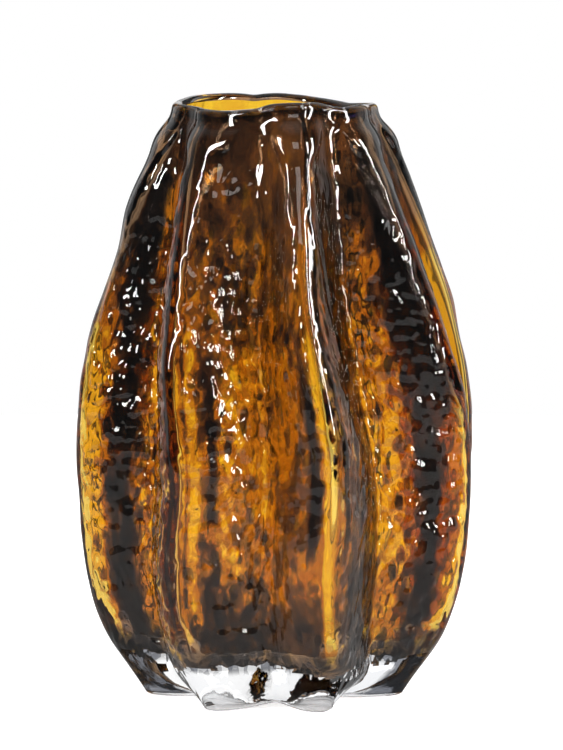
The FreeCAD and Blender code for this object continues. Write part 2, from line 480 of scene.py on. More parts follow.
@dataclass(frozen=True)
class Relief:
    """What the mould and the hand leave on the smooth form.

    A noise or scatter is read at the arcs, the distance of each point from the groove of its flute, or at the
    turns, its turn round the axis, and at its level. Heights are those of the rings. The knuckle and the neck
    are a height, a reach and a rise.
    """

    dimple_sway: Span = (0.4, 0.3)
    dimple_edge: float = 0.7
    dimple_rise: float = 0.7
    scallop_rise: float = 0.3
    scallop_top: Span = (85.0, 140.0)
    lump_rise: float = 0.55
    wobble_rise: float = 0.6
    ripple_rise: float = 0.3
    wobble_foot: Span = (3.0, 22.0)
    grain_rise: float = 0.22
    knuckle: Spot = (212.5, 5.5, 1.5)
    neck: Spot = (219.5, 2.6, -0.7)
    meander_reach: float = 1.2
    quiver_reach: float = 0.5
    meander_low: Span = (18.0, 34.0)
    meander_high: Span = (200.0, 216.0)
    collar_height: float = 216.5
    arch_drop: float = 8.0
    arch_recess: float = 1.4
    arch_round: Span = (0.12, 0.34)
    arch_edge: Span = (-4.5, 1.5)
    arch_side: Span = (0.08, 0.26)
    arch_reach: Span = (140.0, 200.0)
    flute_offset: float = 3.7
    tie_share: float = 0.001
    cell_margin: float = 0.12
    scatter_size: int = 512
    knots_size: int = 256

    def arcs(self, rings: Array) -> Array:
        """Distance along each ring from the groove of the flute that each column is in.

        Args:
            rings: Rings of points.

        Returns:
            The distances, with a start of their own in each flute.
        """
        columns = rings.shape[1]
        per_ridge = columns // len(RIDGES)
        steps = np.linalg.norm(np.roll(rings, -1, axis=1)[:, :, :2] - rings[:, :, :2], axis=2)
        along = np.concatenate([np.zeros((len(rings), 1)), np.cumsum(steps, axis=1)], axis=1)
        groove = np.round(np.arange(columns) / per_ridge + self.tie_share).astype(int) * per_ridge
        return along[:, :columns] - along[:, groove] + self.flute_offset * groove[None, :]

    def outwards(self, rings: Array) -> Array:
        """Level directions square to the rings, away from the axis.

        Args:
            rings: Rings of points.

        Returns:
            Unit vectors of x and y.
        """
        chord = np.roll(rings, -1, axis=1) - np.roll(rings, 1, axis=1)
        normal = np.stack([chord[:, :, 1], -chord[:, :, 0]], axis=2)
        return normal / np.linalg.norm(normal, axis=2, keepdims=True)

    def cells(self, across: Array, up: Array, seed: int) -> Array:
        """Distance to the nearest of scattered spots, one in each unit square.

        Args:
            across: First coordinate.
            up: Second coordinate.
            seed: Seed of the scatter.

        Returns:
            The distance, about 0 to 1.
        """
        size = self.scatter_size
        draw = np.random.default_rng(seed)
        scatter = draw.uniform(self.cell_margin, 1.0 - self.cell_margin, (size, size, 2))
        col, row = np.floor(across).astype(int), np.floor(up).astype(int)
        nearest = np.full(across.shape, np.inf)
        for i in (-1, 0, 1):
            for j in (-1, 0, 1):
                spot = scatter[(col + i) % size, (row + j) % size]
                away = (col + i + spot[..., 0] - across) ** 2 + (row + j + spot[..., 1] - up) ** 2
                nearest = np.minimum(nearest, away)
        return np.sqrt(nearest)

    def noise(self, across: Array, up: Array, layer: Layer) -> Array:
        """Smooth noise with one knot in each cell of its layer.

        Args:
            across: First coordinate.
            up: Second coordinate.
            layer: Which noise.

        Returns:
            The noise, between -1 and 1.
        """
        size = self.knots_size
        seed, width, height, start = layer.value
        knots = np.random.default_rng(seed).uniform(-1.0, 1.0, (size, size))
        across, up = across / width + start, up / height
        col, row = np.floor(across).astype(int), np.floor(up).astype(int)
        s, t = eased(0.0, 1.0, across - col), eased(0.0, 1.0, up - row)
        here, above = row % size, (row + 1) % size
        low, high = (knots[col % size, r] * (1.0 - s) + knots[(col + 1) % size, r] * s for r in (here, above))
        return low * (1.0 - t) + high * t

    def hammering(self, arcs: Array, levels: Array, heights: Array) -> Array:
        """How far the dimples, lumps and scallops of the hammered flutes push each point outwards.

        Args:
            arcs: Distance of each point along its ring.
            levels: Level of each point.
            heights: Height of each ring.

        Returns:
            The push of each point.
        """
        seed, width, height, _ = Layer.DIMPLES.value
        sway = self.noise(arcs, levels, Layer.DIMPLE_SWAY)
        across, up = arcs / width + self.dimple_sway[0] * sway, levels / height + self.dimple_sway[1] * sway
        cells = self.cells(across, up, seed)
        push = (1.0 - (cells / self.dimple_edge) ** 2) * self.dimple_rise
        push += self.noise(arcs, levels, Layer.LUMPS) * self.lump_rise
        low_down = 1.0 - eased(*self.scallop_top, heights)[:, None]
        return push + self.noise(arcs, levels, Layer.SCALLOPS) * low_down * self.scallop_rise

    def wobble(self, turns: Array, levels: Array) -> Array:
        """How far the slow unevenness of the whole face pushes each point outwards."""
        slow, quick = self.noise(turns, levels, Layer.WOBBLE), self.noise(turns, levels, Layer.RIPPLE)
        return (slow * self.wobble_rise + quick * self.ripple_rise) * eased(*self.wobble_foot, levels)

    def collar(self, heights: Array) -> Array:
        """The knuckle under the lip and the drawn-in neck above it."""
        rings = (self.knuckle, self.neck)
        return sum(rise * np.exp(-(((heights - height) / reach) ** 2)) for height, reach, rise in rings)

    def arches(self, to_crest: Array, heights: Array) -> Array:
        """How far each point lies back under the arched tops of the flutes.

        Args:
            to_crest: How far each column lies from the nearest crest, in ridges.
            heights: Height of each ring.

        Returns:
            The recess of each point.
        """
        arch = self.collar_height - self.arch_drop * (1.0 - eased(*self.arch_round, to_crest))
        recess = 1.0 - eased(*self.arch_edge, heights[:, None] - arch[None, :])
        recess = recess * eased(*self.arch_side, to_crest)[None, :]
        return recess * eased(*self.arch_reach, heights)[:, None] * self.arch_recess

    def meander(self, turns: Array, levels: Array) -> Array:
        """How far each point is moved sideways, for the ridges to wander."""
        slow, quick = self.noise(turns, levels, Layer.MEANDER), self.noise(turns, levels, Layer.QUIVER)
        return slow * self.meander_reach + quick * self.quiver_reach


def streaks(marks: tuple[Streak, ...], places: Array, heights: Array) -> Array:
    """What some streaks add.

    Args:
        marks: The streaks.
        places: Place of each column, counted in ridges.
        heights: Height of each row.

    Returns:
        An array of rows and columns.
    """
    total = np.zeros((len(heights), len(places)))
    count = len(RIDGES)
    for mark in marks:
        climb = np.clip((heights - mark.low) / (mark.high - mark.low), 0.0, 1.0)
        middle = mark.place + mark.lean * climb
        off = np.abs((places[None, :] - middle[:, None] + count / 2.0) % count - count / 2.0)
        across = 1.0 - eased(*STREAK_EDGE, off / mark.half_width)
        rise = (mark.low - STREAK_FADE, mark.low + STREAK_FADE)
        fall = (mark.high - 2.0 * STREAK_FADE, mark.high + 2.0 * STREAK_FADE)
        total += mark.change * across * window(rise, fall, heights)[:, None]
    return total


@dataclass
class Lathe:
    """Rings of points of equal column count that close into one mesh.

    Args:
        name: Name of the piece.
        columns: Points in each ring.
    """

    name: str
    columns: int
    rings: list[Array] = field(default_factory=list)
    bands: list[Array] = field(default_factory=list)
    facts: dict[str, list[Array]] = field(default_factory=dict)

    def add(self, rings: Array, skin: Skin, heel_top: Array | None = None, **facts: Array) -> None:
        """Adds rings, with the skin of the bands that lead to them and facts about their points.

        Args:
            rings: Rings of points.
            skin: The skin.
            heel_top: Height of each column below which the heel's skin lies instead.
            **facts: Arrays of rings and columns.
        """
        for number, ring in enumerate(rings):
            self.rings.append(ring)
            band = np.full(self.columns, skin.value)
            if heel_top is not None:
                band[ring[:, 2] < heel_top] = Skin.HEEL.value
            self.bands.append(band)
            for name, values in facts.items():
                self.facts.setdefault(name, []).append(values[number])

    def build(self, finishes: dict[Skin, Material]) -> Piece:
        """The closed mesh, with a centre point at each end, as an object in metres.

        Args:
            finishes: The material of each skin that the mesh has.

        Returns:
            The object.
        """
        points = np.concatenate(self.rings)
        first, last = self.rings[0].mean(axis=0), self.rings[-1].mean(axis=0)
        first[:2] = last[:2] = 0.0
        points = np.concatenate([points, [first, last]]) * MM
        n, rows = self.columns, len(self.rings)
        here = np.arange(n)
        there = (here + 1) % n
        row = np.arange(rows - 1)[:, None] * n
        quads = np.stack([row + here, row + there, row + n + there, row + n + here], axis=2).reshape(-1, 4)
        low, high = rows * n, rows * n + 1
        start = np.stack([np.full(n, low), there, here], axis=1)
        end = np.stack([(rows - 1) * n + here, (rows - 1) * n + there, np.full(n, high)], axis=1)
        sizes = np.concatenate([np.full(len(quads), 4), np.full(2 * n, 3)])
        corners = np.concatenate([quads.ravel(), start.ravel(), end.ravel()])
        mesh = bpy.data.meshes.new(self.name)
        mesh.vertices.add(len(points))
        mesh.vertices.foreach_set("co", points.astype(np.float32).ravel())
        mesh.loops.add(len(corners))
        mesh.loops.foreach_set("vertex_index", corners.astype(np.int32))
        mesh.polygons.add(len(sizes))
        starts = np.concatenate([[0], np.cumsum(sizes)[:-1]])
        mesh.polygons.foreach_set("loop_start", starts.astype(np.int32))
        mesh.polygons.foreach_set("loop_total", sizes.astype(np.int32))
        bands = np.concatenate([*self.bands[1:], self.bands[0], self.bands[-1]])
        slots = np.zeros(len(Skin), np.int32)
        for number, (skin, finish) in enumerate(finishes.items()):
            mesh.materials.append(finish)
            slots[skin.value] = number
        mesh.polygons.foreach_set("material_index", slots[bands])
        mesh.polygons.foreach_set("use_smooth", np.ones(len(sizes), bool))
        mesh.update(calc_edges=True)
        for name, values in self.facts.items():
            ends_mean = [values[0].mean(), values[-1].mean()]
            layer = mesh.attributes.new(name, "FLOAT", "POINT")
            values = np.concatenate([*values, ends_mean])
            layer.data.foreach_set("value", values.astype(np.float32))
        mesh.validate()
        return put_in_scene(self.name, mesh)


@dataclass(frozen=True)
class Pattern:
    """A noise or a scatter of cells over the glass.

    Args:
        stretch: How fast it changes upwards, as a share of how fast it changes across.
        scale: How often it repeats in a metre.
        detail: How many finer layers a noise has.
        distortion: How much a noise twists itself.
        sway_scale: Scale of the noise that pushes the pattern about.
        sway: How far that noise pushes it, in metres.
    """

    stretch: float
    scale: float
    detail: float = 2.0
    distortion: float = 0.0
    sway_scale: float = 0.0
    sway: float = 0.0


@dataclass
class Graph:
    """Fills in one node tree.

    Args:
        tree: The tree.
    """

    tree: bpy.types.NodeTree

    def add(self, kind: str, **settings: object) -> Node:
        """A new node.

        Args:
            kind: Kind of node.
            **settings: Its settings.

        Returns:
            The node.
        """
        node = self.tree.nodes.new(kind)
        for name, value in settings.items():
            setattr(node, name, value)
        return node

    def feed(self, node: Node, values: Values) -> None:
        """Links inputs of a node to sockets, or gives them values.

        Args:
            node: The node.
            values: A socket or a value for each input, by its name or number.
        """
        for name, value in values.items():
            if isinstance(value, Socket):
                self.tree.links.new(value, node.inputs[name])
            else:
                node.inputs[name].default_value = value

    def made(self, kind: str, values: Values, output: str | int = 0, **settings: object) -> Socket:
        """One output of a new node.

        Args:
            kind: Kind of node.
            values: A socket or a value for each input, by its name or number.
            output: Name or number of the output.
            **settings: Settings of the node.

        Returns:
            The output.
        """
        node = self.add(kind, **settings)
        self.feed(node, values)
        return node.outputs[output]

    def calc(self, operation: str, *values: object, clamp: bool = False) -> Socket:
        """Result of a sum on numbers."""
        return self.made("ShaderNodeMath", dict(enumerate(values)), operation=operation, use_clamp=clamp)

    def times(self, first: object, second: object) -> Socket:
        """Product of two numbers."""
        return self.calc("MULTIPLY", first, second)

    def less(self, first: object, second: object) -> Socket:
        """First number less the second."""
        return self.calc("SUBTRACT", first, second)

    def step(self, value: object, low: float, high: float, start: float = 0.0, end: float = 1.0) -> Socket:
        """Smooth step of a value from start at low to end at high."""
        values = dict(enumerate((value, low, high, start, end)))
        return self.made("ShaderNodeMapRange", values, interpolation_type="SMOOTHSTEP")

    def blend(self, share: object, first: object, second: object) -> Socket:
        """Two colours mixed."""
        return self.made("ShaderNodeMix", {0: share, 6: first, 7: second}, 2, data_type="RGBA")

    def fact(self, name: str) -> Socket:
        """A fact that the mesh keeps about its points."""
        return self.add("ShaderNodeAttribute", attribute_name=name).outputs["Fac"]

    def at(self, pattern: Pattern) -> Socket:
        """Coordinates that a pattern is read at.

        Args:
            pattern: The pattern.

        Returns:
            Object coordinates, stretched and swayed.
        """
        here = self.add("ShaderNodeTexCoord").outputs["Object"]
        here = self.made("ShaderNodeMapping", {"Vector": here, "Scale": (1.0, 1.0, pattern.stretch)})
        if not pattern.sway:
            return here
        cloud = self.made("ShaderNodeTexNoise", {"Vector": here, "Scale": pattern.sway_scale}, "Color")
        reach = (pattern.sway, pattern.sway, pattern.sway)
        return self.made("ShaderNodeVectorMath", {0: cloud, 1: reach, 2: here}, operation="MULTIPLY_ADD")

    def noise(self, pattern: Pattern) -> Socket:
        """Noise between 0 and 1."""
        values = {"Vector": self.at(pattern), "Scale": pattern.scale, "Detail": pattern.detail}
        return self.made("ShaderNodeTexNoise", values | {"Distortion": pattern.distortion}, "Fac")

    def spots(self, pattern: Pattern) -> Socket:
        """A value of its own for each cell."""
        values = {"Vector": self.at(pattern), "Scale": pattern.scale}
        return self.made("ShaderNodeTexVoronoi", values, "Color")

    def cells(self, pattern: Pattern, smoothness: float) -> Socket:
        """Distance to the nearest cell middle."""
        values = {"Vector": self.at(pattern), "Scale": pattern.scale, "Smoothness": smoothness}
        return self.made("ShaderNodeTexVoronoi", values, "Distance", feature="SMOOTH_F1")

    def glaze(self, shader: Node, colour: object, roughness: object, ior: float) -> None:
        """Makes a shader glass."""
        values = {"Base Color": colour, "Roughness": roughness, "IOR": ior, "Transmission Weight": 1.0}
        self.feed(shader, values)


def new_group(
    name: str, inputs: tuple[tuple[str, str, object], ...], outputs: tuple[tuple[str, str], ...]
) -> Graph:
    """An empty node group.

    Args:
        name: Name of the group.
        inputs: Name, socket kind and first value of each input.
        outputs: Name and socket kind of each output.

    Returns:
        The group, ready to be filled in.
    """
    tree = bpy.data.node_groups.new(name, "ShaderNodeTree")
    for title, kind, value in inputs:
        socket = tree.interface.new_socket(title, in_out="INPUT", socket_type=kind)
        socket.default_value = value
    for title, kind in outputs:
        tree.interface.new_socket(title, in_out="OUTPUT", socket_type=kind)
    return Graph(tree)


def rgb(red: int, green: int, blue: int) -> Colour:
    """A colour as it is seen turned into light.

    Args:
        red: Red from 0 to 255.
        green: Green from 0 to 255.
        blue: Blue from 0 to 255.

    Returns:
        The colour as light from 0 to 1.
    """
    seen = [part / 255.0 for part in (red, green, blue)]
    light = [((v + 0.055) / 1.055) ** 2.4 if v > 0.04045 else v / 12.92 for v in seen]
    return light[0], light[1], light[2], 1.0


def before_wall(colour: Colour, wall: Colour) -> Colour:
    """Colour of a front wall that shows a given colour with another wall behind it."""
    red, green, blue = (min(1.0, part / behind) for part, behind in zip(colour[:3], wall[:3]))
    return red, green, blue, 1.0


@dataclass(frozen=True)
class SkinRelief:
    """Node group for the fine relief that is on all the glass."""

    name: str = "skin_relief"
    dents: Pattern = Pattern(0.6, 300.0)
    grain: Pattern = Pattern(0.12, 300.0, 1.0)
    ripple: Pattern = Pattern(0.5, 90.0, 1.0)
    spots: Pattern = Pattern(0.55, 290.0, sway_scale=160.0, sway=0.0022)
    ovals: Pattern = Pattern(0.5, 200.0, sway_scale=200.0, sway=0.0012)
    dent_smoothness: float = 0.4
    dent_edge: float = 0.6
    oval_edge: Span = (0.42, 0.3)
    oval_choice: Span = (0.5, 0.56)
    dent_share: float = 0.4
    brush_share: float = 0.2
    ripple_share: float = 0.3

    def group(self) -> bpy.types.NodeTree:
        """The group, made at its first use.

        Returns:
            The tree of the group.
        """
        if self.name in bpy.data.node_groups:
            return bpy.data.node_groups[self.name]
        number = "NodeSocketFloat"
        inputs = (("Hammered", number, 0.0), ("Brushed", number, 0.0))
        titles = ("Height", "Cells", "Grain", "Spots", "Ovals")
        graph = new_group(self.name, inputs, tuple((title, number) for title in titles))
        given = graph.add("NodeGroupInput").outputs
        cells, grain = graph.cells(self.dents, self.dent_smoothness), graph.noise(self.grain)
        near = graph.step(graph.cells(self.ovals, 0.0), *self.oval_edge)
        ovals = graph.times(near, graph.step(graph.spots(self.ovals), *self.oval_choice))
        dent = graph.times(graph.less(self.dent_edge, cells), given["Hammered"])
        brush = graph.times(graph.times(grain, given["Brushed"]), self.brush_share)
        height = graph.calc("ADD", graph.times(dent, self.dent_share), brush)
        height = graph.calc("ADD", height, graph.times(graph.noise(self.ripple), self.ripple_share))
        results = (height, cells, grain, graph.spots(self.spots), ovals)
        graph.feed(graph.add("NodeGroupOutput"), dict(zip(titles, results)))
        return graph.tree

    def outputs(self, graph: Graph) -> bpy.types.NodeOutputs:
        """What the group says in a material.

        Args:
            graph: Graph of the material.

        Returns:
            The outputs of the group's node.
        """
        node = graph.add("ShaderNodeGroup", node_tree=self.group())
        graph.feed(node, {"Hammered": graph.fact("hammered"), "Brushed": graph.fact("brushed")})
        return node.outputs


def new_material(name: str) -> tuple[Material, Graph, Node]:
    """A new material.

    Args:
        name: Its name.

    Returns:
        The material, its graph and its shader.
    """
    material = bpy.data.materials.new(name)
    material.use_nodes = True
    return material, Graph(material.node_tree), material.node_tree.nodes["Principled BSDF"]


@dataclass(frozen=True)
class ClearGlass:
    """Finish of the outer skin of the clear casing, with painted slate shade where thick clear glass reflects
    the dark room.
    """

    name: str = "clear_glass"
    ior: float = 1.5
    tint: Colour = rgb(255, 255, 255)
    # A faint grey tint that the cloud blots in at random.
    smoke_and_shade: Colour = rgb(240, 242, 246)
    # Painted shade: the slate colour of the dark reflections.
    painted_slate: Colour = rgb(52, 54, 60)
    cloud: Pattern = Pattern(0.4, 30.0)
    cloud_edge: Span = (0.35, 0.75)
    ragged_share: float = 0.3
    painted_slate_edge: Span = (0.35, 0.75)
    painted_slate_start: Span = (0.05, 0.2)
    grain_edge: Span = (0.4, 0.9)
    roughest: float = 0.02

    def material(self) -> Material:
        """The finish as a material.

        Returns:
            The material.
        """
        material, graph, shader = new_material(self.name)
        relief = SkinRelief().outputs(graph)
        cloud = graph.step(graph.noise(self.cloud), *self.cloud_edge)
        # The fact read here paints the dark reflections of the room that thick clear glass shows: slate along
        # the crests of ridges 2 and 3, on the heel, in a band above it and on the lip. It is painted shade,
        # shown only on faces seen from outside.
        slate_shade = graph.fact("slate_shade")
        ragged = graph.calc("ADD", slate_shade, graph.times(relief["Spots"], self.ragged_share))
        painted_slate = graph.times(graph.step(ragged, *self.painted_slate_edge), graph.step(slate_shade, *self.painted_slate_start))
        leaving = graph.add("ShaderNodeNewGeometry").outputs["Backfacing"]
        painted_slate = graph.times(painted_slate, graph.less(1.0, leaving))
        colour = graph.blend(painted_slate, graph.blend(cloud, self.tint, self.smoke_and_shade), self.painted_slate)
        rough = graph.step(relief["Grain"], *self.grain_edge, 0.0, self.roughest)
        graph.glaze(shader, colour, rough, self.ior)
        bump = {"Height": relief["Height"], "Distance": MM, "Strength": 1.0}
        graph.feed(shader, {"Normal": graph.made("ShaderNodeBump", bump)})
        return material


@dataclass(frozen=True)
class FusedClear:
    """Finish of the hidden face where the clear gather meets the amber one."""

    name: str = "clear_glass_fused"
    tint: Colour = rgb(252, 252, 252)
    clearest: Colour = rgb(255, 255, 255)
    cloud: Pattern = Pattern(1.0, 40.0)

    def material(self) -> Material:
        """The finish as a material.

        Returns:
            The material.
        """
        material, graph, shader = new_material(self.name)
        colour = graph.blend(graph.noise(self.cloud), self.tint, self.clearest)
        graph.glaze(shader, colour, roughness=0.0, ior=1.0)
        return material


@dataclass(frozen=True)
class GroundFoot:
    """Finish of the underside, which is ground flat."""

    name: str = "clear_glass_ground"
    ior: float = 1.04
    tint: Colour = rgb(252, 253, 255)
    worn: Colour = rgb(244, 246, 249)
    scratches: Pattern = Pattern(1.0, 900.0, 3.0)
    scratch_edge: Span = (0.3, 0.7)
    roughness: Span = (0.45, 0.65)

    def material(self) -> Material:
        """The finish as a material.

        Returns:
            The material.
        """
        material, graph, shader = new_material(self.name)
        scratches = graph.noise(self.scratches)
        rough = graph.step(scratches, *self.scratch_edge, *self.roughness)
        graph.glaze(shader, graph.blend(scratches, self.tint, self.worn), rough, self.ior)
        return material


@dataclass(frozen=True)
class AmberTones:
    """Colours of the amber gather, as they show where light passes the front and the back wall."""

    deep: Colour = rgb(16, 9, 7)
    brown: Colour = rgb(56, 29, 13)
    rust: Colour = rgb(96, 50, 20)
    amber: Colour = rgb(160, 84, 10)
    bright: Colour = rgb(204, 134, 14)
    pale: Colour = rgb(218, 150, 22)
    behind: Colour = (0.83, 0.42, 0.03, 1.0)
    # Painted light: the brighter colour that the glass shows from the hollow.
    painted_lit_inside: Colour = (0.96, 0.6, 0.04, 1.0)
    stops: tuple[float, ...] = (0.0, 0.2, 0.37, 0.44, 0.66, 0.74, 1.0)
    painted_lit_inside_edge: Span = (0.0, 0.5)

    def colour(self, graph: Graph, tone: Socket) -> Socket:
        """Colour of one wall.

        Args:
            graph: Graph of the material.
            tone: The tone, from 0, deep, to 1, pale.

        Returns:
            The colour.
        """
        ramp = graph.add("ShaderNodeValToRGB")
        colours = (self.deep, self.brown, self.rust, self.amber, self.amber, self.bright, self.pale)
        elements = ramp.color_ramp.elements
        while len(elements) < len(colours):
            elements.new(0.5)
        for element, place, colour in zip(elements, self.stops, colours):
            element.position = place
            element.color = before_wall(colour, self.behind)
        graph.feed(ramp, {0: tone})
        return ramp.outputs[0]

    def seen_from_within(self, graph: Graph, tone: Socket) -> Socket:
        """Colour of one wall that is seen from the hollow of the vase: painted light, brightest where the
        tone is darkest.
        """
        return graph.blend(graph.step(tone, *self.painted_lit_inside_edge), self.painted_lit_inside, self.behind)


@dataclass(frozen=True)
class AmberGlass:
    """Finish of one face of the amber lining.

    Args:
        name: Name of the material.
        ior: Index of refraction against what lies outside of the face.
        roughness: Roughness of the face.
        faces_out: Whether it is the face towards the casing.
    """

    name: str
    ior: float
    roughness: float
    faces_out: bool
    tones: AmberTones = AmberTones()
    blots: Pattern = Pattern(0.42, 70.0, 3.0, 0.6)
    drift: Pattern = Pattern(0.35, 60.0, 3.0, 0.4)
    blot_edge: Span = (0.47, 0.53)
    dome_edge: float = 0.45
    spot_share: float = 0.5
    # Painted shade of the dark ovals and painted light in the middle of each dent.
    oval_shade_share: float = -0.4
    dome_light_share: float = 0.5
    blot_share: float = 0.15
    drift_share: float = 0.4
    brush_share: float = 0.3

    def material(self) -> Material:
        """The finish as a material.

        Returns:
            The material.
        """
        material, graph, shader = new_material(self.name)
        relief = SkinRelief().outputs(graph)
        hammered, middle = graph.fact("hammered"), 0.5
        # In the hammered flutes each dent is painted lighter in its middle and some get dark ovals, as
        # painted light and shade of the dents; the spots, blots, drift and brushing vary the tone at random.
        changes = (
            (graph.times(graph.less(relief["Spots"], middle), hammered), self.spot_share),
            (graph.times(relief["Ovals"], hammered), self.oval_shade_share),
            (graph.times(graph.less(self.dome_edge, relief["Cells"]), hammered), self.dome_light_share),
            (graph.less(graph.step(graph.noise(self.blots), *self.blot_edge), middle), self.blot_share),
            (graph.less(graph.noise(self.drift), middle), self.drift_share),
            (graph.times(graph.less(relief["Grain"], middle), graph.fact("brushed")), self.brush_share),
        )
        tone = graph.fact("tone")
        for change, share in changes:
            tone = graph.calc("MULTIPLY_ADD", change, share, tone)
        tone = graph.calc("ADD", tone, 0.0, clamp=True)
        # The side turned to the hollow shows the brighter colour of seen_from_within and the side turned out
        # shows the ramp colour: painted light inside the vase.
        turned = graph.add("ShaderNodeNewGeometry").outputs["Backfacing"]
        sides = (self.tones.seen_from_within(graph, tone), self.tones.colour(graph, tone))
        first, second = reversed(sides) if self.faces_out else sides
        graph.glaze(shader, graph.blend(turned, first, second), self.roughness, self.ior)
        return material


@dataclass(frozen=True)
class Wall:
    """Facts about the wall for each row and column."""

    form: RibbedForm
    climb_heights: tuple[float, ...] = (14.0, 28.0, 44.0, 70.0, 120.0, 150.0, 175.0, 200.0, 225.0)
    climb_tones: tuple[float, ...] = (0.12, 0.24, 0.36, 0.45, 0.45, 0.36, 0.31, 0.28, 0.22)
    crest_edge: Span = (0.04, 0.12)
    flute_top: Span = (200.0, 216.0)
    brushed_calm: float = 0.5
    shoulder: Span = (162.0, 192.0)
    shoulder_calm: float = 0.6
    heel: Span = (10.0, 22.0)
    heel_calm: float = 0.75
    # Painted shade: heights and strength of a slate band above the heel and of slate on the lip.
    shade_band_low: Span = (13.0, 18.0)
    shade_band_high: Span = (22.0, 31.0)
    smoke_and_shade: float = 0.5
    lip_edge: Span = (218.5, 222.0)
    lip_shade: float = 0.6

    def facts(self, heights: Array) -> dict[str, Array]:
        """Tone with its painted light and shade, hammering, brushing and painted slate shade.

        Args:
            heights: Height of each row.

        Returns:
            An array of rows and columns for each fact.
        """
        places = self.form.places()
        # The tone is darker towards the foot and towards the lip; the streaks add painted light and painted
        # shade to it.
        climb = np.interp(heights, self.climb_heights, self.climb_tones)[:, None]
        tone = climb + streaks(PAINTED_LIGHT_STREAKS + PAINTED_SHADE_STREAKS, places, heights)
        below_lip = 1.0 - eased(*self.flute_top, heights)
        in_flute = eased(*self.crest_edge, self.form.to_crest())[None, :] * below_lip[:, None]
        brushed = in_flute * np.clip(streaks(BRUSHED_STREAKS, places, heights), 0.0, 1.0)
        calm = 1.0 - self.shoulder_calm * eased(*self.shoulder, heights)
        calm = calm * (1.0 - self.heel_calm * (1.0 - eased(*self.heel, heights)))
        smooth = np.clip(streaks(SMOOTH_STREAKS, places, heights), 0.0, 1.0)
        hammered = (in_flute - self.brushed_calm * brushed) * calm[:, None] * (1.0 - smooth)
        # The painted slate shade: the band above the heel, the lip less its lighter gap at the back, and the
        # slate streaks.
        band = window(self.shade_band_low, self.shade_band_high, heights)[:, None] * self.smoke_and_shade
        at_lip = eased(*self.lip_edge, heights)[:, None]
        band = band + at_lip * (self.lip_shade - streaks(LIP_SHADE_GAPS, places, heights))
        slate_shade = np.clip(band + streaks(SLATE_SHADE_STREAKS, places, heights), 0.0, 1.0)
        return {"tone": tone, "hammered": hammered, "brushed": brushed, "slate_shade": slate_shade}


